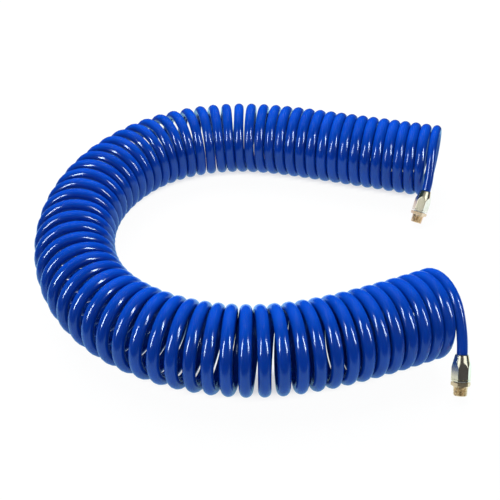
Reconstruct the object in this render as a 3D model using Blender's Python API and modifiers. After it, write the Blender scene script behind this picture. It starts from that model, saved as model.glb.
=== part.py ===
"""Coiled air hose: a polyurethane recoil hose lying in a U, with a swivel fitting on each end.

The frame: the origin is on the floor under the middle of the hose, +X points the way the U opens,
+Y points to the leg with the higher Y, and +Z is up. Lengths are in metres, except the outlines of
the fitting's turned pieces, which are in millimetres.

The coil is one solid of its outer shape. Each tail is the last part turn of the hose, which leaves
the coil over its top, and the straight piece that runs into the fitting.
"""

import math

import bmesh
import bpy
import numpy as np
from mathutils import Vector

# Hose
HOSE_RADIUS = 0.005
HOSE_BORE_RADIUS = 0.00325
TURN_RADIUS = 0.038
COIL_RADIUS = TURN_RADIUS + HOSE_RADIUS
GAP = 0.0003

# The coil's centreline seen from above, from the far end of the one leg to the far end of the other
ROUTE = [
    (0.217, 0.109),
    (0.157, 0.133),
    (0.097, 0.157),
    (-0.010, 0.188),
    (-0.104, 0.170),
    (-0.172, 0.095),
    (-0.190, -0.010),
    (-0.155, -0.108),
    (-0.087, -0.165),
    (0.004, -0.189),
    (0.094, -0.177),
    (0.165, -0.155),
]
COIL_RINGS = 49
COIL_BEVEL_RESOLUTION = 6

# Tails: angles around the coil's axis are counted from its top, towards the side the tail leaves on
TAIL_START_ANGLE = math.radians(-40)
TAIL_LEAVE_ANGLE = math.radians(51)
TURN_PITCH = 0.012
TAIL_ARC_POINTS = 7
TAIL_RUN_POINTS = 7
TAIL_BEVEL_RESOLUTION = 4

# Fittings: the middle of each thread's end face, its heading seen from above, and how steeply it
# points down
FITTINGS = {
    "front": {"tip": (0.183, -0.2245, 0.0046), "heading": math.radians(-100)},
    "back": {"tip": (0.193, 0.0395, 0.0046), "heading": math.radians(-125)},
}
FITTING_SLOPE = math.radians(53)
FITTING_TURN = math.radians(-14)

# Stations along a fitting, in millimetres from the nut's mouth
HOSE_END = 14.7
STEM_SHOULDER = 15.0
NUT_LENGTH = 22.5
FLANGE_START = 22.8
FLANGE_END = 24.4
WASHER_START = 24.7
WASHER_END = 25.2
STUD_START = 25.5
THREAD_START = 29.0
FITTING_LENGTH = 38.0

# Radii in a fitting, in millimetres
HEX_ACROSS_FLATS = 16.0
HEX_CORNER = HEX_ACROSS_FLATS / math.sqrt(3)
MOUTH_RADIUS = 5.3
NUT_BORE_RADIUS = 6.6
STEM_THREAD_RADIUS = 6.3
AIR_BORE_RADIUS = 2.0
BARB_RADIUS = 2.95
BARB_ROOT_RADIUS = 2.6
JOURNAL_RADIUS = 3.7
STUD_BORE_RADIUS = 4.0
RING_POCKET_RADIUS = 4.6

# The R 1/4 taper thread: its crests stand at the full radius on the gauge plane
THREAD_GAUGE_RADIUS = 13.157 / 2
THREAD_GAUGE_FROM_TIP = 6.0
THREAD_PITCH = 1.337
THREAD_DEPTH = 0.856
THREAD_TAPER = 1 / 32
THREAD_RIDGES = 5

TURN_STEPS = 24
MM = 0.001


def clear_scene():
    """Remove whatever the file opened with."""
    for item in list(bpy.data.objects):
        bpy.data.objects.remove(item)


def new_collection(name):
    """A collection under the scene's own."""
    collection = bpy.data.collections.new(name)
    bpy.context.scene.collection.children.link(collection)
    return collection


def make_material(name, color, metallic, roughness):
    """A plain Principled material."""
    material = bpy.data.materials.new(name)
    material.use_nodes = True
    shader = material.node_tree.nodes["Principled BSDF"]
    shader.inputs["Base Color"].default_value = (*color, 1.0)
    shader.inputs["Metallic"].default_value = metallic
    shader.inputs["Roughness"].default_value = roughness
    return material


def add_object(name, data, collection, material=None, parent=None):
    """An object for some data, in its collection, with its material and parent."""
    item = bpy.data.objects.new(name, data)
    collection.objects.link(item)
    if material is not None:
        data.materials.append(material)
    item.parent = parent
    return item


def add_cutter(name, mesh, parent):
    """An object that only cuts others."""
    cutter = add_object(name, mesh, CUTTERS, parent=parent)
    cutter.hide_render = True
    cutter.display_type = "WIRE"
    return cutter


def add_boolean(item, cutter, operation):
    """Cut an object with another, or keep what the two share."""
    boolean = item.modifiers.new(cutter.name, "BOOLEAN")
    boolean.operation = operation
    boolean.object = cutter
    boolean.solver = "EXACT"


def turned(name, outline, material, parent):
    """A ring turned around the parent's Z axis from a closed outline of radius and station.

    The outline runs down its outer side, from the thread's end towards the hose, and back inside.
    """
    mesh = bpy.data.meshes.new(name)
    points = [(radius * MM, 0, station * MM) for radius, station in outline]
    edges = [(i, (i + 1) % len(points)) for i in range(len(points))]
    mesh.from_pydata(points, edges, [])
    item = add_object(name, mesh, PARTS, material, parent)
    screw = item.modifiers.new("turn", "SCREW")
    screw.axis = "Z"
    screw.angle = math.tau
    screw.steps = TURN_STEPS
    screw.render_steps = TURN_STEPS
    screw.use_merge_vertices = True
    screw.merge_threshold = 0.00001
    return item


def box_cutter(name, low, high, parent):
    """A box between two corners in millimetres."""
    mesh = bpy.data.meshes.new(name)
    shape = bmesh.new()
    bmesh.ops.create_cube(shape, size=1)
    size = [(b - a) * MM for a, b in zip(low, high)]
    middle = [(a + b) / 2 * MM for a, b in zip(low, high)]
    bmesh.ops.scale(shape, vec=size, verts=shape.verts)
    bmesh.ops.translate(shape, vec=middle, verts=shape.verts)
    shape.to_mesh(mesh)
    shape.free()
    return add_cutter(name, mesh, parent)


def prism_cutter(name, radius, sides, start, end, parent):
    """A straight prism around the parent's Z axis, between two stations in millimetres."""
    mesh = bpy.data.meshes.new(name)
    shape = bmesh.new()
    bmesh.ops.create_cone(
        shape,
        cap_ends=True,
        segments=sides,
        radius1=radius * MM,
        radius2=radius * MM,
        depth=(end - start) * MM,
    )
    bmesh.ops.rotate(
        shape,
        matrix=Vector((0, 1, 0)).rotation_difference(Vector((1, 0, 0))).to_matrix(),
        verts=shape.verts,
    )
    bmesh.ops.translate(shape, vec=(0, 0, (start + end) / 2 * MM), verts=shape.verts)
    shape.to_mesh(mesh)
    shape.free()
    return add_cutter(name, mesh, parent)


def spline_through(points, count):
    """Evenly spaced points and unit tangents on the smooth curve through some points.

    The curve is a cubic spline over the chords' length, straight at its two ends.
    """
    points = np.array(points, dtype=float)
    chords = np.linalg.norm(np.diff(points, axis=0), axis=1)
    knots = np.concatenate([[0], np.cumsum(chords)])
    size = len(points)
    system = np.eye(size)
    rhs = np.zeros_like(points)
    for i in range(1, size - 1):
        before, after = chords[i - 1], chords[i]
        system[i, i - 1 : i + 2] = before, 2 * (before + after), after
        rise = (points[i + 1] - points[i]) / after - (points[i] - points[i - 1]) / before
        rhs[i] = 6 * rise
    bends = np.linalg.solve(system, rhs)

    def position(at):
        i = min(np.searchsorted(knots, at, side="right") - 1, size - 2)
        width = chords[i]
        left, right = knots[i + 1] - at, at - knots[i]
        curved = (bends[i] * left**3 + bends[i + 1] * right**3) / (6 * width)
        start = (points[i] / width - bends[i] * width / 6) * left
        end = (points[i + 1] / width - bends[i + 1] * width / 6) * right
        return curved + start + end

    fine = np.array([position(at) for at in np.linspace(0, knots[-1], 1200)])
    travelled = np.concatenate([[0], np.cumsum(np.linalg.norm(np.diff(fine, axis=0), axis=1))])
    even = np.linspace(0, travelled[-1], count)
    places = np.stack([np.interp(even, travelled, fine[:, k]) for k in range(fine.shape[1])], axis=1)
    tangents = np.gradient(places, axis=0)
    tangents /= np.linalg.norm(tangents, axis=1)[:, None]
    return places, tangents


def tube_curve(name, points, radius, resolution, collection, material):
    """A round bar with flat ends along some points."""
    curve = bpy.data.curves.new(name, "CURVE")
    curve.dimensions = "3D"
    curve.bevel_depth = radius
    curve.bevel_resolution = resolution
    curve.use_fill_caps = True
    spline = curve.splines.new("POLY")
    spline.points.add(len(points) - 1)
    for target, point in zip(spline.points, points):
        target.co = (*point, 1)
    return add_object(name, curve, collection, material)


def curve_to_mesh(item):
    """The same object as a mesh, with its end caps welded to its wall."""
    name = item.name
    graph = bpy.context.evaluated_depsgraph_get()
    mesh = bpy.data.meshes.new_from_object(item.evaluated_get(graph))
    shape = bmesh.new()
    shape.from_mesh(mesh)
    bmesh.ops.remove_doubles(shape, verts=shape.verts, dist=0.00001)
    shape.to_mesh(mesh)
    shape.free()
    matrix = item.matrix_world.copy()
    bpy.data.objects.remove(item)
    result = add_object(name, mesh, PARTS)
    result.matrix_world = matrix
    return result


def make_coil(material):
    """The coiled stretch, as one solid of its outer shape."""
    places, _ = spline_through(ROUTE, COIL_RINGS)
    points = [(x, y, COIL_RADIUS) for x, y in places]
    return tube_curve("hose_coil", points, COIL_RADIUS, COIL_BEVEL_RESOLUTION, PARTS, material)


def coil_end(end):
    """Where the coil ends, the way it points there, and the level way its tail leaves."""
    places, tangents = spline_through(ROUTE, COIL_RINGS)
    if end == "front":
        place, outward = places[-1], Vector((*tangents[-1], 0))
        leave = outward.cross(Vector((0, 0, 1)))
    else:
        place, outward = places[0], -Vector((*tangents[0], 0))
        leave = outward.cross(Vector((0, 0, 1)))
    return Vector((*place, COIL_RADIUS)), outward, leave


def fitting_direction(end):
    """The way a fitting points, from its nut's mouth to its thread's end."""
    heading = FITTINGS[end]["heading"]
    level = math.cos(FITTING_SLOPE)
    return Vector((level * math.cos(heading), level * math.sin(heading), -math.sin(FITTING_SLOPE)))


def fitting_mouth(end):
    """The middle of the nut's mouth, where the hose goes in."""
    return Vector(FITTINGS[end]["tip"]) - fitting_direction(end) * FITTING_LENGTH * MM


def tail_points(end):
    """The tail's centreline: the part turn past the coil's end, the run to the nut, the hose in it."""
    place, outward, leave = coil_end(end)
    up = Vector((0, 0, 1))
    points = []
    for angle in np.linspace(TAIL_START_ANGLE, TAIL_LEAVE_ANGLE, TAIL_ARC_POINTS):
        past = HOSE_RADIUS + GAP + TURN_PITCH * (angle - TAIL_START_ANGLE) / math.tau
        around = up * math.cos(angle) + leave * math.sin(angle)
        points.append(place + outward * past + around * TURN_RADIUS)
    pitch_step = outward * TURN_PITCH / (math.tau * TURN_RADIUS)
    start_way = leave * math.cos(TAIL_LEAVE_ANGLE) - up * math.sin(TAIL_LEAVE_ANGLE) + pitch_step
    start, mouth = points[-1], fitting_mouth(end)
    reach = (mouth - start).length
    for t in np.linspace(0, 1, TAIL_RUN_POINTS)[1:]:
        run = start * (2 * t**3 - 3 * t**2 + 1) + mouth * (3 * t**2 - 2 * t**3)
        run += start_way * reach * (t**3 - 2 * t**2 + t)
        run += fitting_direction(end) * reach * (t**3 - t**2)
        points.append(run)
    points.append(mouth + fitting_direction(end) * HOSE_END * MM)
    return points


def make_tail(end, axis, material):
    """One end of the hose, bored where the fitting's barb goes in."""
    name = f"hose_tail_{end}"
    tail = curve_to_mesh(
        tube_curve(name, tail_points(end), HOSE_RADIUS, TAIL_BEVEL_RESOLUTION, PARTS, None)
    )
    tail.name = name
    tail.data.materials.append(material)
    bore = prism_cutter(
        f"{end}_hose_bore", HOSE_BORE_RADIUS / MM, TURN_STEPS, 1.0, HOSE_END + 3, axis
    )
    add_boolean(tail, bore, "DIFFERENCE")
    return tail


def make_axis(end):
    """An empty at the nut's mouth, with +Z along the fitting and +Y on its upper side."""
    axis = bpy.data.objects.new(f"{end}_fitting_axis", None)
    PARTS.objects.link(axis)
    axis.location = fitting_mouth(end)
    axis.rotation_mode = "QUATERNION"
    axis.rotation_quaternion = fitting_direction(end).to_track_quat("Z", "Y")
    return axis


def make_nut(end, axis, hexagon, material):
    """The hexagonal nut, coned towards the hose."""
    outline = [
        (8.6, NUT_LENGTH),
        (HEX_CORNER + 0.1, NUT_LENGTH - 0.6),
        (HEX_CORNER + 0.1, 13.0),
        (8.0, 7.5),
        (6.7, 2.2),
        (6.3, 0.7),
        (5.9, 0.0),
        (MOUTH_RADIUS, 0.0),
        (MOUTH_RADIUS, 2.0),
        (NUT_BORE_RADIUS, 6.0),
        (NUT_BORE_RADIUS, NUT_LENGTH),
    ]
    nut = turned(f"{end}_compression_nut", outline, material, axis)
    add_boolean(nut, hexagon, "INTERSECT")


def make_sleeve(end, axis, material):
    """The split sleeve that the nut's cone closes on the hose."""
    outline = [(6.3, 12.0), (6.3, 8.0), (5.7, 5.0), (MOUTH_RADIUS, 5.0), (MOUTH_RADIUS, 12.0)]
    sleeve = turned(f"{end}_clamp_sleeve", outline, material, axis)
    slit = box_cutter(f"{end}_sleeve_slit", (0, -0.5, 4), (8, 0.5, 13), axis)
    add_boolean(sleeve, slit, "DIFFERENCE")


def make_stem(end, axis, hexagon, material):
    """The stem: barb for the hose, thread for the nut, thin hexagon, and the swivel's journal."""
    ring_groove = [(JOURNAL_RADIUS, 32.8), (3.0, 32.8), (3.0, 31.3), (JOURNAL_RADIUS, 31.3)]
    seal_groove = [(JOURNAL_RADIUS, 28.8), (2.7, 28.8), (2.7, 27.2), (JOURNAL_RADIUS, 27.2)]
    flange = [
        (JOURNAL_RADIUS, FLANGE_END),
        (8.8, FLANGE_END),
        (HEX_CORNER + 0.1, FLANGE_END - 0.4),
        (HEX_CORNER + 0.1, FLANGE_START),
        (STEM_THREAD_RADIUS, FLANGE_START),
        (STEM_THREAD_RADIUS, STEM_SHOULDER),
    ]
    barbs = []
    for top in (STEM_SHOULDER - 0.6, STEM_SHOULDER - 4.6, STEM_SHOULDER - 8.6):
        barbs += [(BARB_ROOT_RADIUS, top), (BARB_RADIUS, top - 0.3), (BARB_ROOT_RADIUS, top - 3.4)]
    outline = [(JOURNAL_RADIUS, 33.8), *ring_groove, *seal_groove, *flange]
    outline += [(BARB_ROOT_RADIUS, STEM_SHOULDER), *barbs]
    outline += [(AIR_BORE_RADIUS, 2.5), (AIR_BORE_RADIUS, 33.8)]
    stem = turned(f"{end}_barbed_stem", outline, material, axis)
    add_boolean(stem, hexagon, "INTERSECT")


def thread_outline():
    """The ridges of the taper thread, from its tip to the hexagon."""
    outline = []
    gauge = FITTING_LENGTH - THREAD_GAUGE_FROM_TIP
    top = FITTING_LENGTH - 1.1
    for ridge in range(THREAD_RIDGES):
        crest = top - ridge * THREAD_PITCH
        radius = THREAD_GAUGE_RADIUS - (crest - gauge) * THREAD_TAPER
        outline.append((radius, crest))
        outline.append((radius - THREAD_DEPTH, crest - THREAD_PITCH / 2))
    return outline


def make_stud(end, axis, hexagon, material):
    """The swivelling stud: hexagon and taper thread, turning on the stem's journal."""
    outline = [
        (RING_POCKET_RADIUS, FITTING_LENGTH),
        (5.7, FITTING_LENGTH),
        *thread_outline(),
        (THREAD_GAUGE_RADIUS, THREAD_START + 0.9),
        (THREAD_GAUGE_RADIUS, THREAD_START),
        (8.2, THREAD_START),
        (HEX_CORNER + 0.1, THREAD_START - 0.8),
        (HEX_CORNER + 0.1, STUD_START + 0.3),
        (8.7, STUD_START),
        (STUD_BORE_RADIUS, STUD_START),
        (STUD_BORE_RADIUS, 31.2),
        (RING_POCKET_RADIUS, 31.2),
    ]
    stud = turned(f"{end}_swivel_stud", outline, material, axis)
    add_boolean(stud, hexagon, "INTERSECT")


def make_rings(end, axis, materials):
    """The washer and the seal between stem and stud, and the split ring that holds the stud on."""
    washer = [(6.5, WASHER_END), (6.5, WASHER_START), (4.0, WASHER_START), (4.0, WASHER_END)]
    turned(f"{end}_thrust_washer", washer, materials["nylon"], axis)
    ring = [(4.3, 32.5), (4.3, 31.6), (3.3, 31.6), (3.3, 32.5)]
    snap = turned(f"{end}_snap_ring", ring, materials["steel"], axis)
    slit = box_cutter(f"{end}_ring_slit", (2, -0.8, 31), (6, 0.8, 33), axis)
    add_boolean(snap, slit, "DIFFERENCE")
    bpy.ops.mesh.primitive_torus_add(
        major_radius=3.35 * MM, minor_radius=0.35 * MM, major_segments=TURN_STEPS, minor_segments=8
    )
    seal = bpy.context.object
    seal.name = f"{end}_o_ring"
    for collection in list(seal.users_collection):
        collection.objects.unlink(seal)
    PARTS.objects.link(seal)
    seal.data.materials.append(materials["seal"])
    seal.parent = axis
    seal.location = (0, 0, 28.0 * MM)


def make_end(end, materials):
    """One end of the hose with its fitting."""
    axis = make_axis(end)
    hexagon = prism_cutter(f"{end}_hexagon", HEX_CORNER, 6, -5, FITTING_LENGTH + 5, axis)
    hexagon.rotation_euler.z = FITTING_TURN
    make_tail(end, axis, materials["hose"])
    make_nut(end, axis, hexagon, materials["nickel"])
    make_sleeve(end, axis, materials["brass"])
    make_stem(end, axis, hexagon, materials["nickel"])
    make_stud(end, axis, hexagon, materials["brass"])
    make_rings(end, axis, materials)


clear_scene()
PARTS = new_collection("coiled_air_hose")
CUTTERS = new_collection("cutters")

MATERIALS = {
    "hose": make_material("blue_polyurethane", (0.005, 0.05, 0.42), 0.0, 0.15),
    "nickel": make_material("nickel_plate", (0.72, 0.69, 0.6), 1.0, 0.2),
    "brass": make_material("brass", (0.75, 0.6, 0.33), 1.0, 0.25),
    "steel": make_material("spring_steel", (0.3, 0.3, 0.31), 1.0, 0.35),
    "seal": make_material("seal_rubber", (0.015, 0.015, 0.015), 0.0, 0.5),
    "nylon": make_material("nylon", (0.8, 0.79, 0.74), 0.0, 0.4),
}

make_coil(MATERIALS["hose"])
for fitting_end in FITTINGS:
    make_end(fitting_end, MATERIALS)
for part in PARTS.objects:
    if part.type == "MESH":
        part.data.shade_smooth()
        part.data.set_sharp_from_angle(angle=math.radians(30))
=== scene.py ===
"""Looks of the coiled air hose: the wound hose itself, its two fittings, the floor, light and camera.

Lengths are in metres, except the fittings' own outlines and the coil's pitches and leans, which are
in millimetres.
"""

import math

import bmesh
import bpy
import numpy as np
from mathutils import Matrix, Vector


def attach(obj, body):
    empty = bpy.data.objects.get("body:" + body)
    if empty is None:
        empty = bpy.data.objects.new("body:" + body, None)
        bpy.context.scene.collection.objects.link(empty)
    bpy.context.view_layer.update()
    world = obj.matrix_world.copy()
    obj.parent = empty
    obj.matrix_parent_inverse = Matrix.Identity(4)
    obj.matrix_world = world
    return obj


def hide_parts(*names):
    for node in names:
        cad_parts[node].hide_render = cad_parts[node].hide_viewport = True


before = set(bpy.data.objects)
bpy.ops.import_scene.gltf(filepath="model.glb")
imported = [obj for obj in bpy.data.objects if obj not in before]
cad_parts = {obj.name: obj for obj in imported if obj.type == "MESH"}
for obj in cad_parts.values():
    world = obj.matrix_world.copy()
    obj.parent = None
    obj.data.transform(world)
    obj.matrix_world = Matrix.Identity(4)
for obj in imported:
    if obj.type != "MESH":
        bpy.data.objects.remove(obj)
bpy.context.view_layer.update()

MM = 0.001

# ---------------------------------------------------------------------------------------------
# The hose's sizes and route, the same as the part's
# ---------------------------------------------------------------------------------------------

HOSE_RADIUS = 0.005
TURN_RADIUS = 0.038
COIL_RADIUS = TURN_RADIUS + HOSE_RADIUS
GAP = 0.0003
ROUTE = [
    (0.217, 0.109),
    (0.157, 0.133),
    (0.097, 0.157),
    (-0.010, 0.188),
    (-0.104, 0.170),
    (-0.172, 0.095),
    (-0.190, -0.010),
    (-0.155, -0.108),
    (-0.087, -0.165),
    (0.004, -0.189),
    (0.094, -0.177),
    (0.165, -0.155),
]
COIL_RINGS = 49
ROUTE_STEPS = 1200
TAIL_START_ANGLE = math.radians(-40)
TAIL_LEAVE_ANGLE = math.radians(51)
TURN_PITCH = 0.012
FITTINGS = {
    "front": {"tip": (0.183, -0.2245, 0.0046), "heading": math.radians(-100)},
    "back": {"tip": (0.193, 0.0395, 0.0046), "heading": math.radians(-125)},
}
FITTING_SLOPE = math.radians(53)

# How far the hexagons are turned about the fittings' axes, 6 degrees less than in the part
FITTING_TURN = math.radians(-8)

# Stations along a fitting from its nut's mouth, radii and other sizes in it, in millimetres
HOSE_END = 14.7
STEM_SHOULDER = 15.0
NUT_LENGTH = 22.5
FLANGE_START = 22.8
FLANGE_END = 24.4
STUD_START = 25.5
THREAD_START = 29.0
POCKET_START = 31.2
JOURNAL_END = 33.8
FITTING_LENGTH = 38.0
SEAL_GROOVE = (27.2, 28.8)
RING_GROOVE = (31.3, 32.8)
HEX_ACROSS_FLATS = 16.0
HEX_CORNER = HEX_ACROSS_FLATS / math.sqrt(3)
PAST_CORNER = HEX_CORNER + 0.3
MOUTH_RADIUS = 5.3
MOUTH_EDGE = 0.15
MOUTH_END = 2.0
NUT_BORE_RADIUS = 6.6
NUT_BORE_START = 6.0
NUT_CONE = [(PAST_CORNER, 13.0), (8.0, 7.5), (6.7, 2.2)]
NUT_LIP = [(6.3, 0.7), (5.9, 0.1), (5.6, 0.0)]
NUT_FACE_RADIUS = 8.6
NUT_CHAMFER = 0.6
FLANGE_FACE_RADIUS = 8.8
FLANGE_CHAMFER = 0.4
STUD_FACE_RADIUS = 8.7
STUD_CHAMFER = 0.3
STUD_NECK_RADIUS = 8.1
STUD_NECK_CHAMFER = 0.9
THREAD_TIP = [(5.55, 38.0), (5.8, 37.9)]
THREAD_TIP_CHAMFER = 1.3
BORE_CHAMFER = 0.3
STEM_THREAD_RADIUS = 6.3
AIR_BORE_RADIUS = 2.0
BARB_RADIUS = 2.95
BARB_ROOT_RADIUS = 2.6
BARB_TOPS = (0.6, 4.6, 8.6)
BARB_RISE = 0.3
BARB_LENGTH = 3.4
STEM_BORE_START = 2.5
JOURNAL_RADIUS = 3.7
SEAL_GROOVE_RADIUS = 2.7
RING_GROOVE_RADIUS = 3.0
STUD_BORE_RADIUS = 4.0
RING_POCKET_RADIUS = 4.6
THREAD_GAUGE_RADIUS = 13.157 / 2
THREAD_GAUGE_FROM_TIP = 6.0
THREAD_PITCH = 1.337
THREAD_DEPTH = 0.856
THREAD_TAPER = 1 / 32

# Where the thread runs out towards the hexagon, and how finely the turned pieces are meshed
THREAD_RUNOUT = (29.7, 30.9)
TURN_STEPS = 180
OUTLINE_STEP = 0.2
EDGE_ROUNDING = 0.25
SHARP_EDGE = math.radians(35)

# How the turns are spread: share of the way along the coil from the back leg, and pitch in mm
WHOLE_TURNS = 66
PITCHES = [
    (0.00, 12.5),
    (0.06, 13.2),
    (0.13, 13.3),
    (0.19, 14.2),
    (0.25, 14.8),
    (0.31, 15.7),
    (0.38, 16.9),
    (0.44, 18.4),
    (0.50, 20.2),
    (0.57, 20.0),
    (0.63, 18.9),
    (0.69, 16.8),
    (0.75, 15.6),
    (0.79, 14.2),
    (0.845, 15.2),
    (0.88, 13.8),
    (0.94, 13.3),
    (0.985, 12.6),
    (1.00, 10.8),
]

# How far the turns' tops lean towards the front end, and their bottoms away from it, in mm
LEANS = [
    (0.00, 0.0),
    (0.06, -1.5),
    (0.30, -1.5),
    (0.50, 0.5),
    (0.68, 3.4),
    (0.80, 4.0),
    (0.90, 3.7),
    (1.00, 6.0),
]

# How much the lean wavers from turn to turn, how fast, and over what length it starts at each end
LEAN_WAVE = 0.0003
LEAN_WAVE_RATES = (1.7, 0.61)
LEAN_WAVE_FADE = 0.05

# How finely the coil's way, its pitch, its turns and the tails are sampled
COIL_STEPS = 1000
PITCH_STEPS = 4000
POINTS_PER_TURN = 36
TAIL_POINTS = 14

# The hose's section where it is wound: as wide as the pitch inside the bend allows, within limits
WOUND_HALF_WIDTHS = (0.0060, 0.0068)
PITCH_FILLED = 0.98
WOUND_HALF_THICKNESS = 0.0057

# Over how many turns the section changes from round, and the sides of the hose's mesh
FLATTENING_TURNS = 1.0
HOSE_SIDES = 20

# The materials' grain: how fine their patterns are, and how the metal's marks are drawn out
HOSE_TINT_SCALE = 35.0
HOSE_RIPPLE_SCALE = 160.0
HOSE_GRAIN_SCALE = 900.0
METAL_CLOUD_SCALE = 140.0
METAL_GRAIN_SCALE = 1500.0
METAL_MARK_SQUEEZE = (0.05, 0.05, 1.0)

# Colours, in pairs that the materials mix, and the range of each one's roughness
HOSE_COLORS = (0.0005, 0.035, 0.29), (0.0010, 0.047, 0.365)
HOSE_ROUGHNESS = (0.13, 0.19)
NICKEL_COLORS = (0.90, 0.87, 0.69), (0.82, 0.79, 0.61)
NICKEL_ROUGHNESS = (0.15, 0.24)
BRASS_COLORS = (0.92, 0.74, 0.49), (0.82, 0.65, 0.41)
BRASS_ROUGHNESS = (0.28, 0.40)
STEEL_COLORS = (0.42, 0.42, 0.43), (0.30, 0.30, 0.31)
STEEL_ROUGHNESS = (0.25, 0.40)
SEAL_COLORS = (0.012, 0.012, 0.012), (0.03, 0.03, 0.03)
SEAL_ROUGHNESS = (0.35, 0.6)
NYLON_COLORS = (0.80, 0.79, 0.74), (0.72, 0.71, 0.66)
NYLON_ROUGHNESS = (0.30, 0.45)

# The floor's colours: to surfaces, and painted reflections to gloss, blue in a round patch near the
# middle and near-black past its edge
FLOOR_COLOR = (0.9, 0.9, 0.9)
PAINTED_REFLECTION_AND_GLOW_TINT = (0.40, 0.76, 1.0)
PAINTED_DARK_REFLECTION = (0.02, 0.025, 0.03)
PAINTED_REFLECTION_RADIUS = 0.30
PAINTED_REFLECTION_EDGE = 0.12

# The floor's grid, fine near the object
FLOOR_FINE_HALF = 0.4
FLOOR_CELLS = 121
FLOOR_FAR_LINES = (2, 6)
FLOOR_DROP = 0.0002

# The floor's glow, to light and to the camera, and how much of it is left under the coil, where cutting
# it paints shade:
# the distances from the coil's way between which it grows, leaving out the way's last few points
FLOOR_GLOW = 0.72
FLOOR_GLOW_SHOWN = 0.97
PAINTED_SHADE_RANGE = (0.010, 0.022)
PAINTED_SHADE_GLOW_SHARE = 0.6
FLOOR_ROUTE_STEPS = 200
OPEN_END_POINTS = 4

# The surround's tint, its tint where the camera sees it, and how bright it is to surfaces and gloss
SURROUND_TINT = (0.40, 0.78, 1.0)
SURROUND_SHOWN = (3.1, 3.1, 3.1)
SURROUND = 0.32
SURROUND_IN_GLOSS = 0.05

# The soft boxes that light surfaces: place, target, size and power
SOFT_BOXES = {
    "top_box": ((-0.15, 0.95, 1.75), (0, 0.1, 0), (2.6, 1.8), 98.0),
    "back_box": ((0.0, 1.7, 1.1), (0, 0, 0), (2.4, 0.5), 30.0),
    "front_box": ((0.0, -1.7, 1.0), (0, 0, 0), (2.4, 0.8), 7.0),
}

# The two boxes that show only in the hose's gloss
HOSE_BOX_ACROSS = 1.0
HOSE_BOX_TARGET = (0, 0, 0.04)
HOSE_BOX_SIZE = (0.19, 0.80)
HOSE_BOX_POWER = 19.0
HOSE_BOX_TINT = (0.72, 0.88, 1.0)

# Where the boxes on both sides stand, apart from how far to the side
SIDE_BOX_PLACE = (-0.62, 0.75)

# The boxes that show only in the fittings' metal: the table round a fitting, a large box beside the
# camera, and one on each side
TABLE_GLOW_HEIGHT = 0.0001
TABLE_GLOW_SIZE = (0.9, 0.9)
TABLE_GLOW = {"front": 1.3, "back": 1.3}
TABLE_GLOW_TINT = {"front": (1.0, 0.52, 0.04), "back": (1.0, 0.30, 0.0)}
METAL_BOX_PLACE = (0.0, -1.6, 1.6)
METAL_BOX_SIZE = (3.0, 2.4)
METAL_BOX = {"front": 1.0, "back": 7.0}
METAL_BOX_TINT = {"front": (1.0, 0.45, 0.42), "back": (1.0, 0.92, 0.85)}
METAL_SIDE_ACROSS = 0.80
METAL_SIDE_SIZE = (0.70, 0.80)
METAL_SIDE_BOX = 2.4
METAL_SIDE_TINT = (0.92, 0.92, 0.92)

# The camera
CAMERA_PLACE = (-0.001, -0.7418, 0.6062)
CAMERA_TILT = math.radians(38.76)
CAMERA_ROLL = math.radians(-3.58)
CAMERA_LENS = 61.2
SENSOR_WIDTH = 36
CLIP_START = 0.01


# ---------------------------------------------------------------------------------------------
# Materials
# ---------------------------------------------------------------------------------------------


def new_material(name):
    """An empty node material with its Principled shader."""
    material = bpy.data.materials.new(name)
    material.use_nodes = True
    nodes = material.node_tree.nodes
    return material, nodes, material.node_tree.links, nodes["Principled BSDF"]


def noise(nodes, links, scale, detail=3.0, roughness=0.5):
    """Object-space noise."""
    coordinates = nodes.new("ShaderNodeTexCoord")
    texture = nodes.new("ShaderNodeTexNoise")
    texture.inputs["Scale"].default_value = scale
    texture.inputs["Detail"].default_value = detail
    texture.inputs["Roughness"].default_value = roughness
    links.new(coordinates.outputs["Object"], texture.inputs["Vector"])
    return texture.outputs["Fac"]


def remap(nodes, links, value, low, high, start=0.0, end=1.0):
    """A value carried from one range to another."""
    mapper = nodes.new("ShaderNodeMapRange")
    mapper.inputs["From Min"].default_value = start
    mapper.inputs["From Max"].default_value = end
    mapper.inputs["To Min"].default_value = low
    mapper.inputs["To Max"].default_value = high
    links.new(value, mapper.inputs["Value"])
    return mapper.outputs["Result"]


def mix_colors(nodes, links, factor, first, second):
    """Two colours mixed by a value."""
    mixer = nodes.new("ShaderNodeMix")
    mixer.data_type = "RGBA"
    links.new(factor, mixer.inputs["Factor"])
    mixer.inputs["A"].default_value = (*first, 1)
    mixer.inputs["B"].default_value = (*second, 1)
    return mixer.outputs["Result"]


def add_bump(nodes, links, shader, height, strength, distance):
    """A bump from a height."""
    bump = nodes.new("ShaderNodeBump")
    bump.inputs["Strength"].default_value = strength
    bump.inputs["Distance"].default_value = distance
    links.new(height, bump.inputs["Height"])
    links.new(bump.outputs["Normal"], shader.inputs["Normal"])


def hose_material():
    """Glossy blue polyurethane, deep in colour and a little translucent."""
    material, nodes, links, shader = new_material("blue_polyurethane")
    tint = noise(nodes, links, HOSE_TINT_SCALE, 2.0)
    color = mix_colors(nodes, links, remap(nodes, links, tint, 0, 1, 0.3, 0.7), *HOSE_COLORS)
    links.new(color, shader.inputs["Base Color"])
    shader.inputs["Subsurface Weight"].default_value = 0.15
    shader.inputs["Subsurface Radius"].default_value = (0.02, 0.2, 1.0)
    shader.inputs["Subsurface Scale"].default_value = 0.003
    shader.inputs["IOR"].default_value = 1.5
    grain = noise(nodes, links, HOSE_GRAIN_SCALE, 3.0)
    links.new(remap(nodes, links, grain, *HOSE_ROUGHNESS), shader.inputs["Roughness"])
    ripple = noise(nodes, links, HOSE_RIPPLE_SCALE, 2.0)
    add_bump(nodes, links, shader, ripple, 0.02, 0.001)
    return material


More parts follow.
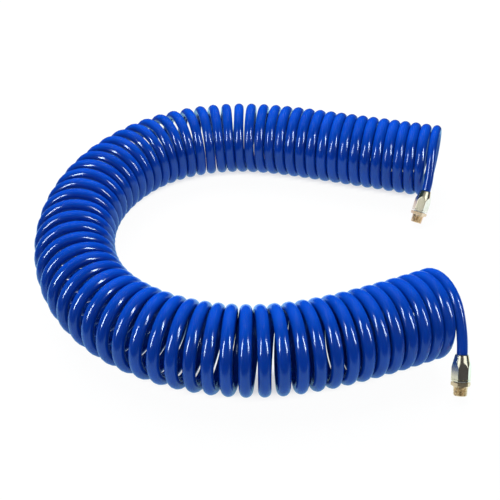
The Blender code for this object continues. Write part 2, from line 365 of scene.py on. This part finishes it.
def metal_material(name, colors, roughness, mark_scale, mark_depth):
    """Turned metal: fine marks around the piece's own axis and a slightly uneven colour."""
    material, nodes, links, shader = new_material(name)
    cloud = noise(nodes, links, METAL_CLOUD_SCALE, 3.0)
    color = mix_colors(nodes, links, remap(nodes, links, cloud, 0, 1, 0.35, 0.65), *colors)
    links.new(color, shader.inputs["Base Color"])
    shader.inputs["Metallic"].default_value = 1.0
    grain = noise(nodes, links, METAL_GRAIN_SCALE, 4.0)
    links.new(remap(nodes, links, grain, *roughness), shader.inputs["Roughness"])
    coordinates = nodes.new("ShaderNodeTexCoord")
    squeezed = nodes.new("ShaderNodeVectorMath")
    squeezed.operation = "MULTIPLY"
    squeezed.inputs[1].default_value = METAL_MARK_SQUEEZE
    links.new(coordinates.outputs["Object"], squeezed.inputs[0])
    marks = nodes.new("ShaderNodeTexNoise")
    marks.inputs["Scale"].default_value = mark_scale
    marks.inputs["Detail"].default_value = 3.0
    links.new(squeezed.outputs["Vector"], marks.inputs["Vector"])
    add_bump(nodes, links, shader, marks.outputs["Fac"], mark_depth, 0.0001)
    return material


def plain_material(name, colors, roughness, scale):
    """Rubber or plastic with a fine grain."""
    material, nodes, links, shader = new_material(name)
    grain = noise(nodes, links, scale, 4.0)
    links.new(mix_colors(nodes, links, grain, *colors), shader.inputs["Base Color"])
    links.new(remap(nodes, links, grain, *roughness), shader.inputs["Roughness"])
    add_bump(nodes, links, shader, grain, 0.1, 0.0001)
    return material


# ---------------------------------------------------------------------------------------------
# The hose
# ---------------------------------------------------------------------------------------------


def spline_through(points, count):
    """Evenly spaced points and unit tangents on the smooth curve through some points."""
    points = np.array(points, dtype=float)
    chords = np.linalg.norm(np.diff(points, axis=0), axis=1)
    knots = np.concatenate([[0], np.cumsum(chords)])
    size = len(points)
    system = np.eye(size)
    rhs = np.zeros_like(points)
    for i in range(1, size - 1):
        before, after = chords[i - 1], chords[i]
        system[i, i - 1 : i + 2] = before, 2 * (before + after), after
        rise = (points[i + 1] - points[i]) / after - (points[i] - points[i - 1]) / before
        rhs[i] = 6 * rise
    bends = np.linalg.solve(system, rhs)

    def position(at):
        i = min(np.searchsorted(knots, at, side="right") - 1, size - 2)
        width = chords[i]
        left, right = knots[i + 1] - at, at - knots[i]
        curved = (bends[i] * left**3 + bends[i + 1] * right**3) / (6 * width)
        start = (points[i] / width - bends[i] * width / 6) * left
        end = (points[i + 1] / width - bends[i + 1] * width / 6) * right
        return curved + start + end

    fine = np.array([position(at) for at in np.linspace(0, knots[-1], ROUTE_STEPS)])
    travelled = np.concatenate([[0], np.cumsum(np.linalg.norm(np.diff(fine, axis=0), axis=1))])
    even = np.linspace(0, travelled[-1], count)
    places = np.stack([np.interp(even, travelled, fine[:, k]) for k in range(fine.shape[1])], axis=1)
    tangents = np.gradient(places, axis=0)
    tangents /= np.linalg.norm(tangents, axis=1)[:, None]
    return places, tangents


def coil_end(end):
    """Where the coil ends, the way it points there, and the level way its tail leaves."""
    places, tangents = spline_through(ROUTE, COIL_RINGS)
    if end == "front":
        place, outward = places[-1], Vector((*tangents[-1], 0))
    else:
        place, outward = places[0], -Vector((*tangents[0], 0))
    return Vector((*place, COIL_RADIUS)), outward, outward.cross(Vector((0, 0, 1)))


def fitting_direction(end):
    """The way a fitting points, from its nut's mouth to its thread's end."""
    heading = FITTINGS[end]["heading"]
    level = math.cos(FITTING_SLOPE)
    return Vector((level * math.cos(heading), level * math.sin(heading), -math.sin(FITTING_SLOPE)))


def fitting_mouth(end):
    """The middle of the nut's mouth, where the hose goes in."""
    return Vector(FITTINGS[end]["tip"]) - fitting_direction(end) * FITTING_LENGTH * MM


def past_coil_end():
    """How far past the end of the coil's way the hose is where it leaves the round."""
    return HOSE_RADIUS + GAP + TURN_PITCH * (TAIL_LEAVE_ANGLE - TAIL_START_ANGLE) / math.tau


def tail_run(end):
    """The tail's centreline after it leaves the coil's round, as far as the nut's mouth."""
    place, outward, leave = coil_end(end)
    up = Vector((0, 0, 1))
    lean = LEANS[-1][1] * MM if end == "front" else -LEANS[0][1] * MM
    past = past_coil_end() + lean * math.cos(TAIL_LEAVE_ANGLE)
    around = up * math.cos(TAIL_LEAVE_ANGLE) + leave * math.sin(TAIL_LEAVE_ANGLE)
    start = place + outward * past + around * TURN_RADIUS
    pitch_step = outward * (TURN_PITCH / math.tau - lean * math.sin(TAIL_LEAVE_ANGLE)) / TURN_RADIUS
    start_way = leave * math.cos(TAIL_LEAVE_ANGLE) - up * math.sin(TAIL_LEAVE_ANGLE) + pitch_step
    mouth = fitting_mouth(end)
    reach = (mouth - start).length
    points = []
    for t in np.linspace(0, 1, TAIL_POINTS)[1:]:
        run = start * (2 * t**3 - 3 * t**2 + 1) + mouth * (3 * t**2 - 2 * t**3)
        run += start_way * reach * (t**3 - 2 * t**2 + t)
        run += fitting_direction(end) * reach * (t**3 - t**2)
        points.append(run)
    return points


def blend_in(share):
    """A smooth step from 0 to 1."""
    share = min(max(share, 0), 1)
    return share * share * (3 - 2 * share)


def lean_wave(at, length, turn):
    """How much a turn's lean wavers: nothing at the coil's ends, all of it a few turns in."""
    share = float(np.clip(min(at, length - at) / LEAN_WAVE_FADE, 0, 1))
    fast, slow = LEAN_WAVE_RATES
    return LEAN_WAVE * share * math.sin(turn * fast) * math.cos(turn * slow)


def coil_points():
    """The wound stretch, from where the back tail leaves to where the front tail does.

    The result is the centreline's points, the way out from the coil's middle at each, how far the
    section has changed from round there, and its half width where it has changed wholly.
    """
    places, tangents = spline_through(ROUTE, COIL_STEPS)
    steps = np.linalg.norm(np.diff(places, axis=0), axis=1)
    length = steps.sum()
    along = np.linspace(-past_coil_end(), length + past_coil_end(), PITCH_STEPS)
    covered = np.clip(along / length, 0, 1)
    pitch = np.interp(covered, [s for s, _ in PITCHES], [p * MM for _, p in PITCHES])
    turned = np.concatenate([[0], np.cumsum(np.diff(along) / ((pitch[1:] + pitch[:-1]) / 2))])
    total = WHOLE_TURNS + 2 * TAIL_LEAVE_ANGLE / math.tau
    turned *= total / turned[-1]

    travelled = np.concatenate([[0], np.cumsum(steps)])
    count = int(total * POINTS_PER_TURN) + 1
    headings = np.unwrap(np.arctan2(tangents[:, 1], tangents[:, 0]))
    curvature = np.abs(np.gradient(headings, travelled))
    points, outward, shares, widths = [], [], [], []
    for turn in np.linspace(0, total, count):
        at = np.interp(turn, turned, along)
        inside = min(max(at, 0), length)
        level = [np.interp(inside, travelled, places[:, k]) for k in range(2)]
        way = Vector((*[np.interp(inside, travelled, tangents[:, k]) for k in range(2)], 0))
        way.normalize()
        angle = turn * math.tau - TAIL_LEAVE_ANGLE
        lean = np.interp(at / length, [s for s, _ in LEANS], [a * MM for _, a in LEANS])
        lean += lean_wave(at, length, turn)
        centre = Vector((*level, COIL_RADIUS)) + way * (at - inside + lean * math.cos(angle))
        across = way.cross(Vector((0, 0, 1)))
        around = Vector((0, 0, 1)) * math.cos(angle) + across * math.sin(angle)
        share = float(blend_in(min(turn, total - turn) / FLATTENING_TURNS))
        half_thickness = HOSE_RADIUS + (WOUND_HALF_THICKNESS - HOSE_RADIUS) * share
        points.append(centre + around * (COIL_RADIUS - half_thickness))
        outward.append(around)
        shares.append(share)
        inner_pitch = np.interp(at, along, pitch)
        inner_pitch *= 1 - TURN_RADIUS * np.interp(inside, travelled, curvature)
        widths.append(float(np.clip(inner_pitch * PITCH_FILLED / 2, *WOUND_HALF_WIDTHS)))
    return points, outward, shares, widths


def make_hose(material):
    """The whole hose as one tube, from inside the front nut to inside the back nut.

    Its section is round in the tails and flattened, wider along the coil, where it is wound.
    """
    front = [fitting_mouth("front") + fitting_direction("front") * HOSE_END * MM]
    front += tail_run("front")[::-1]
    back = tail_run("back")
    back.append(fitting_mouth("back") + fitting_direction("back") * HOSE_END * MM)
    wound, around, shares, widths = coil_points()
    points = np.array([tuple(p) for p in front + wound[::-1] + back])
    shares = np.array([0.0] * len(front) + shares[::-1] + [0.0] * len(back))
    widths = np.array([HOSE_RADIUS] * len(front) + widths[::-1] + [HOSE_RADIUS] * len(back))
    outward = [around[-1]] * len(front) + around[::-1] + [around[0]] * len(back)
    outward = np.array([tuple(way) for way in outward])
    half_wide = HOSE_RADIUS + (widths - HOSE_RADIUS) * shares
    half_thick = HOSE_RADIUS + (WOUND_HALF_THICKNESS - HOSE_RADIUS) * shares

    steps = np.diff(points, axis=0)
    lengths = np.linalg.norm(steps, axis=1)
    ways = steps / lengths[:, None]
    tangents = np.concatenate([ways[:1], ways[:-1] + ways[1:], ways[-1:]])
    tangents /= np.linalg.norm(tangents, axis=1)[:, None]
    outward -= (outward * tangents).sum(axis=1)[:, None] * tangents
    outward /= np.linalg.norm(outward, axis=1)[:, None]
    sideways = np.cross(tangents, outward)

    angles = np.linspace(0, math.tau, HOSE_SIDES, endpoint=False)
    rings = points[:, None, :] + (
        (half_thick[:, None] * np.cos(angles))[:, :, None] * outward[:, None, :]
        + (half_wide[:, None] * np.sin(angles))[:, :, None] * sideways[:, None, :]
    )
    vertices = rings.reshape(-1, 3)
    faces = []
    for i in range(len(points) - 1):
        for k in range(HOSE_SIDES):
            after = (k + 1) % HOSE_SIDES
            start, end = i * HOSE_SIDES, (i + 1) * HOSE_SIDES
            faces.append((start + k, start + after, end + after, end + k))
    faces.append(tuple(range(HOSE_SIDES))[::-1])
    faces.append(tuple(range(len(vertices) - HOSE_SIDES, len(vertices))))
    mesh = bpy.data.meshes.new("wound_hose")
    mesh.from_pydata(vertices.tolist(), [], faces)
    mesh.update()
    mesh.shade_smooth()
    hose = bpy.data.objects.new("wound_hose", mesh)
    bpy.context.scene.collection.objects.link(hose)
    mesh.materials.append(material)
    return hose, points, lengths.sum()


# ---------------------------------------------------------------------------------------------
# The fittings
# ---------------------------------------------------------------------------------------------


def soft_min(first, second, width):
    """The smaller of two lengths, rounded where they are nearly the same."""
    share = np.clip(0.5 + 0.5 * (second - first) / width, 0, 1)
    return second + (first - second) * share - width * share * (1 - share)


def hexagon_radius(angles):
    """How far the hexagon reaches from its axis, with slightly rounded corners."""
    inside = (angles - FITTING_TURN) % (math.pi / 3) - math.pi / 6
    nearest = HEX_ACROSS_FLATS / 2 / np.cos(inside)
    next_flat = HEX_ACROSS_FLATS / 2 / np.cos(math.pi / 3 - np.abs(inside))
    return soft_min(nearest, next_flat, EDGE_ROUNDING)


def thread_cut(angles, station):
    """How deep the right-hand taper thread is cut at a station, all the way round."""
    phase = station / THREAD_PITCH - angles / math.tau
    share = blend_in((station - THREAD_RUNOUT[0]) / (THREAD_RUNOUT[1] - THREAD_RUNOUT[0]))
    return THREAD_DEPTH * share * (0.5 - 0.5 * np.cos(math.tau * phase))


def refined(outline):
    """An outline with points added where its steps along the axis are long."""
    points = [outline[0]]
    for (radius, station), (next_radius, next_station) in zip(outline, outline[1:]):
        count = max(1, math.ceil(abs(next_station - station) / OUTLINE_STEP))
        for i in range(1, count + 1):
            share = i / count
            points.append((radius + (next_radius - radius) * share,
                           station + (next_station - station) * share))
    return points


def turned_piece(name, end, outer, inner, material, threaded=False):
    """A turned and hexagonal piece of a fitting, from its outlines of radius and station.

    The outer outline runs from the thread's end towards the hose, and the inner one back again.
    """
    angles = np.linspace(0, math.tau, TURN_STEPS, endpoint=False)
    hexagon = hexagon_radius(angles)
    rings = []
    for radius, station in refined(outer):
        reach = np.full(TURN_STEPS, radius)
        if threaded and station > THREAD_RUNOUT[0]:
            gauge = FITTING_LENGTH - THREAD_GAUGE_FROM_TIP
            crest = THREAD_GAUGE_RADIUS - (station - gauge) * THREAD_TAPER
            reach = np.minimum(reach, crest - thread_cut(angles, station))
        reach = soft_min(reach, hexagon, EDGE_ROUNDING)
        rings.append((reach, station))
    rings += [(np.full(TURN_STEPS, radius), station) for radius, station in inner]

    vertices = []
    for reach, station in rings:
        across = zip(reach * np.cos(angles) * MM, reach * np.sin(angles) * MM)
        vertices += [(float(x), float(y), station * MM) for x, y in across]
    faces = []
    for i in range(len(rings)):
        start, end_ring = i * TURN_STEPS, (i + 1) % len(rings) * TURN_STEPS
        for k in range(TURN_STEPS):
            after = (k + 1) % TURN_STEPS
            faces.append((start + k, start + after, end_ring + after, end_ring + k))
    mesh = bpy.data.meshes.new(name)
    mesh.from_pydata(vertices, [], faces)
    shape = bmesh.new()
    shape.from_mesh(mesh)
    bmesh.ops.recalc_face_normals(shape, faces=shape.faces)
    shape.to_mesh(mesh)
    shape.free()
    mesh.shade_smooth()
    mesh.set_sharp_from_angle(angle=SHARP_EDGE)
    mesh.materials.append(material)
    piece = bpy.data.objects.new(name, mesh)
    bpy.context.scene.collection.objects.link(piece)
    piece.matrix_world = (
        Matrix.Translation(fitting_mouth(end))
        @ fitting_direction(end).to_track_quat("Z", "Y").to_matrix().to_4x4()
    )
    return piece


def make_nut(end, material):
    """The hexagonal nut, coned towards the hose, with a rounded lip at its mouth."""
    outer = [
        (NUT_FACE_RADIUS, NUT_LENGTH),
        (PAST_CORNER, NUT_LENGTH - NUT_CHAMFER),
        *NUT_CONE,
        *NUT_LIP,
    ]
    inner = [
        (MOUTH_RADIUS, MOUTH_EDGE),
        (MOUTH_RADIUS, MOUTH_END),
        (NUT_BORE_RADIUS, NUT_BORE_START),
        (NUT_BORE_RADIUS, NUT_LENGTH),
    ]
    return turned_piece(f"{end}_coned_nut", end, outer, inner, material)


def make_stem(end, material):
    """The stem: swivel journal, thin hexagon, thread for the nut and barb for the hose."""
    outer = [
        (JOURNAL_RADIUS, JOURNAL_END),
        (JOURNAL_RADIUS, RING_GROOVE[1]),
        (RING_GROOVE_RADIUS, RING_GROOVE[1]),
        (RING_GROOVE_RADIUS, RING_GROOVE[0]),
        (JOURNAL_RADIUS, RING_GROOVE[0]),
        (JOURNAL_RADIUS, SEAL_GROOVE[1]),
        (SEAL_GROOVE_RADIUS, SEAL_GROOVE[1]),
        (SEAL_GROOVE_RADIUS, SEAL_GROOVE[0]),
        (JOURNAL_RADIUS, SEAL_GROOVE[0]),
        (JOURNAL_RADIUS, FLANGE_END),
        (FLANGE_FACE_RADIUS, FLANGE_END),
        (PAST_CORNER, FLANGE_END - FLANGE_CHAMFER),
        (PAST_CORNER, FLANGE_START),
        (STEM_THREAD_RADIUS, FLANGE_START),
        (STEM_THREAD_RADIUS, STEM_SHOULDER),
        (BARB_ROOT_RADIUS, STEM_SHOULDER),
    ]
    for below in BARB_TOPS:
        top = STEM_SHOULDER - below
        outer += [
            (BARB_ROOT_RADIUS, top),
            (BARB_RADIUS, top - BARB_RISE),
            (BARB_ROOT_RADIUS, top - BARB_LENGTH),
        ]
    inner = [(AIR_BORE_RADIUS, STEM_BORE_START), (AIR_BORE_RADIUS, JOURNAL_END)]
    return turned_piece(f"{end}_hose_stem", end, outer, inner, material)


def make_stud(end, material):
    """The swivelling stud: taper thread and hexagon."""
    outer = [
        *THREAD_TIP,
        (THREAD_GAUGE_RADIUS, FITTING_LENGTH - THREAD_TIP_CHAMFER),
        (THREAD_GAUGE_RADIUS, THREAD_START + 0.1),
        (THREAD_GAUGE_RADIUS + 0.1, THREAD_START),
        (STUD_NECK_RADIUS, THREAD_START - 0.05),
        (PAST_CORNER, THREAD_START - STUD_NECK_CHAMFER),
        (PAST_CORNER, STUD_START + STUD_CHAMFER),
        (STUD_FACE_RADIUS, STUD_START),
    ]
    inner = [
        (STUD_BORE_RADIUS, STUD_START),
        (STUD_BORE_RADIUS, POCKET_START),
        (RING_POCKET_RADIUS, POCKET_START),
        (RING_POCKET_RADIUS, FITTING_LENGTH - BORE_CHAMFER),
        (RING_POCKET_RADIUS + BORE_CHAMFER, FITTING_LENGTH),
    ]
    return turned_piece(f"{end}_taper_stud", end, outer, inner, material, threaded=True)


# ---------------------------------------------------------------------------------------------
# Stage
# ---------------------------------------------------------------------------------------------


def make_camera():
    """The camera at the picture's viewing angle."""
    data = bpy.data.cameras.new("camera")
    data.lens = CAMERA_LENS
    data.sensor_width = SENSOR_WIDTH
    data.clip_start = CLIP_START
    camera = bpy.data.objects.new("camera", data)
    bpy.context.scene.collection.objects.link(camera)
    tilt = Matrix.Rotation(math.pi / 2 - CAMERA_TILT, 4, "X")
    roll = Matrix.Rotation(CAMERA_ROLL, 4, "Z")
    camera.matrix_world = Matrix.Translation(CAMERA_PLACE) @ tilt @ roll
    bpy.context.scene.camera = camera


def area_light(name, place, target, size, power, tint=(1, 1, 1), receivers=None):
    """A soft box aimed at a point.

    Without receivers it lights surfaces. With them it shows in the gloss of their pieces only.
    """
    data = bpy.data.lights.new(name, "AREA")
    data.shape = "RECTANGLE"
    data.size, data.size_y = size
    data.energy = power
    data.color = tint
    light = bpy.data.objects.new(name, data)
    bpy.context.scene.collection.objects.link(light)
    light.location = place
    light.rotation_mode = "QUATERNION"
    light.rotation_quaternion = (Vector(target) - Vector(place)).to_track_quat("-Z", "Y")
    light.visible_glossy = receivers is not None
    light.visible_diffuse = receivers is None
    light.visible_camera = False
    if receivers is not None:
        light.light_linking.receiver_collection = receivers


def side_boxes(name, across, target, size, power, tint, receivers):
    """A pair of boxes that show in gloss, one on each side of the object."""
    for side, x in (("left", -across), ("right", across)):
        area_light(f"{side}_{name}", (x, *SIDE_BOX_PLACE), target, size, power, tint, receivers)


def new_collection(name):
    """An empty collection, for pieces that share their lights."""
    collection = bpy.data.collections.new(name)
    bpy.context.scene.collection.children.link(collection)
    return collection


def floor_mesh():
    """A wide flat grid, fine near the object, that knows where it lies open and where under the coil,
    where its glow is cut to paint shade.
    """
    middle = np.linspace(-FLOOR_FINE_HALF, FLOOR_FINE_HALF, FLOOR_CELLS)
    lines = np.concatenate([-np.array(FLOOR_FAR_LINES[::-1]), middle, FLOOR_FAR_LINES])
    across, along = np.meshgrid(lines, lines)
    places = np.stack([across.ravel(), along.ravel()], axis=1)
    size = len(lines)
    faces = []
    for i in range(size - 1):
        for k in range(size - 1):
            corner = i * size + k
            faces.append((corner, corner + 1, corner + size + 1, corner + size))
    mesh = bpy.data.meshes.new("floor")
    mesh.from_pydata([(x, y, 0) for x, y in places.tolist()], [], faces)
    # Painted shade: the floor's glow is cut near the coil's way, so the floor under the coil reads darker
    route = spline_through(ROUTE, FLOOR_ROUTE_STEPS)[0][OPEN_END_POINTS:-OPEN_END_POINTS]
    distance = np.min([np.linalg.norm(places - point, axis=1) for point in route], axis=0)
    share = np.clip((distance - PAINTED_SHADE_RANGE[0]) / (PAINTED_SHADE_RANGE[1] - PAINTED_SHADE_RANGE[0]), 0, 1)
    share = share * share * (3 - 2 * share)
    attribute = mesh.attributes.new("painted_shade_glow_share", "FLOAT", "POINT")
    attribute.data.foreach_set("value", PAINTED_SHADE_GLOW_SHARE + (1 - PAINTED_SHADE_GLOW_SHARE) * share)
    return mesh


def multiply(nodes, links, first, second):
    """The product of two values."""
    product = nodes.new("ShaderNodeMath")
    product.operation = "MULTIPLY"
    links.new(first, product.inputs[0])
    links.new(second, product.inputs[1])
    return product.outputs["Value"]


def make_floor():
    """A white, softly lit floor. Gloss sees it only near the object, as if it were a small table: a
    painted reflection, blue there and near-black beyond.
    """
    mesh = floor_mesh()
    floor = bpy.data.objects.new("floor", mesh)
    bpy.context.scene.collection.objects.link(floor)
    floor.location.z = -FLOOR_DROP
    material, nodes, links, shader = new_material("floor_paper")
    coordinates = nodes.new("ShaderNodeTexCoord")
    distance = nodes.new("ShaderNodeVectorMath")
    distance.operation = "LENGTH"
    links.new(coordinates.outputs["Object"], distance.inputs[0])
    # Painted reflection: gloss rays see the floor blue near the middle and near-black beyond
    edge = (PAINTED_REFLECTION_RADIUS, PAINTED_REFLECTION_RADIUS + PAINTED_REFLECTION_EDGE)
    far = remap(nodes, links, distance.outputs["Value"], 0, 1, *edge)
    path = nodes.new("ShaderNodeLightPath")
    in_gloss, in_camera = path.outputs["Is Glossy Ray"], path.outputs["Is Camera Ray"]
    hidden = multiply(nodes, links, far, in_gloss)
    mixer = nodes.new("ShaderNodeMix")
    mixer.data_type = "RGBA"
    links.new(hidden, mixer.inputs["Factor"])
    links.new(mix_colors(nodes, links, in_gloss, FLOOR_COLOR, PAINTED_REFLECTION_AND_GLOW_TINT), mixer.inputs["A"])
    mixer.inputs["B"].default_value = (*PAINTED_DARK_REFLECTION, 1)
    links.new(mixer.outputs["Result"], shader.inputs["Base Color"])
    shader.inputs["Roughness"].default_value = 0.6
    shader.inputs["Specular IOR Level"].default_value = 0.0

    glow = nodes.new("ShaderNodeEmission")
    links.new(mix_colors(nodes, links, in_camera, PAINTED_REFLECTION_AND_GLOW_TINT, (1, 1, 1)), glow.inputs["Color"])
    # Painted shade: less glow under the coil, by the share kept on the floor's mesh
    painted_shade_glow_share = nodes.new("ShaderNodeAttribute")
    painted_shade_glow_share.attribute_name = "painted_shade_glow_share"
    share = remap(nodes, links, in_camera, FLOOR_GLOW, FLOOR_GLOW_SHOWN)
    share = multiply(nodes, links, share, painted_shade_glow_share.outputs["Fac"])
    share = multiply(nodes, links, share, remap(nodes, links, hidden, 1, 0))
    both = nodes.new("ShaderNodeMixShader")
    links.new(share, both.inputs["Fac"])
    links.new(shader.outputs["BSDF"], both.inputs[1])
    links.new(glow.outputs["Emission"], both.inputs[2])
    links.new(both.outputs["Shader"], nodes["Material Output"].inputs["Surface"])
    mesh.materials.append(material)


def make_world():
    """A pale blue surround, which gloss sees much darker than surfaces do, and white behind the floor."""
    world = bpy.data.worlds.new("studio")
    world.use_nodes = True
    nodes, links = world.node_tree.nodes, world.node_tree.links
    path = nodes.new("ShaderNodeLightPath")
    background = nodes["Background"]
    color = mix_colors(nodes, links, path.outputs["Is Camera Ray"], SURROUND_TINT, SURROUND_SHOWN)
    links.new(color, background.inputs["Color"])
    links.new(remap(nodes, links, path.outputs["Is Glossy Ray"], SURROUND, SURROUND_IN_GLOSS),
              background.inputs["Strength"])
    bpy.context.scene.world = world


make_camera()
bpy.context.scene.view_settings.view_transform = "Standard"
make_world()
make_floor()
for name, (place, target, size, power) in SOFT_BOXES.items():
    area_light(name, place, target, size, power)

hose, hose_path, hose_length = make_hose(hose_material())
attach(hose, "hose")
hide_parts("hose_coil", "hose_tail_front", "hose_tail_back")
wound = new_collection("wound")
wound.objects.link(hose)
side_boxes("box", HOSE_BOX_ACROSS, HOSE_BOX_TARGET, HOSE_BOX_SIZE, HOSE_BOX_POWER, HOSE_BOX_TINT, wound)

nickel = metal_material("nickel_plate", NICKEL_COLORS, NICKEL_ROUGHNESS, 900.0, 0.10)
brass = metal_material("turned_brass", BRASS_COLORS, BRASS_ROUGHNESS, 1200.0, 0.20)
inner_materials = {
    "clamp_sleeve": brass,
    "thrust_washer": plain_material("nylon", NYLON_COLORS, NYLON_ROUGHNESS, 700.0),
    "o_ring": plain_material("seal_rubber", SEAL_COLORS, SEAL_ROUGHNESS, 900.0),
    "snap_ring": metal_material("spring_steel", STEEL_COLORS, STEEL_ROUGHNESS, 900.0, 0.10),
}
for end in FITTINGS:
    nut = make_nut(end, nickel)
    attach(nut, "hose")
    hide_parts(f"{end}_compression_nut")
    stem = make_stem(end, nickel)
    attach(stem, "hose")
    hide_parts(f"{end}_barbed_stem")
    stud = make_stud(end, brass)
    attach(stud, f"{end}_stud")
    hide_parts(f"{end}_swivel_stud")
    metal = new_collection(f"{end}_metal")
    for piece in (nut, stem, stud):
        metal.objects.link(piece)
    for part, material in inner_materials.items():
        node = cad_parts[f"{end}_{part}"]
        node.data.materials.clear()
        node.data.materials.append(material)
    mouth = fitting_mouth(end)
    table = (mouth.x, mouth.y, TABLE_GLOW_HEIGHT)
    above = (mouth.x, mouth.y, 1)
    area_light(f"{end}_table_glow", table, above, TABLE_GLOW_SIZE, TABLE_GLOW[end],
               TABLE_GLOW_TINT[end], metal)
    area_light(f"{end}_metal_box", METAL_BOX_PLACE, table, METAL_BOX_SIZE, METAL_BOX[end],
               METAL_BOX_TINT[end], metal)
    side_boxes(f"{end}_metal_box", METAL_SIDE_ACROSS, table, METAL_SIDE_SIZE, METAL_SIDE_BOX,
               METAL_SIDE_TINT, metal)
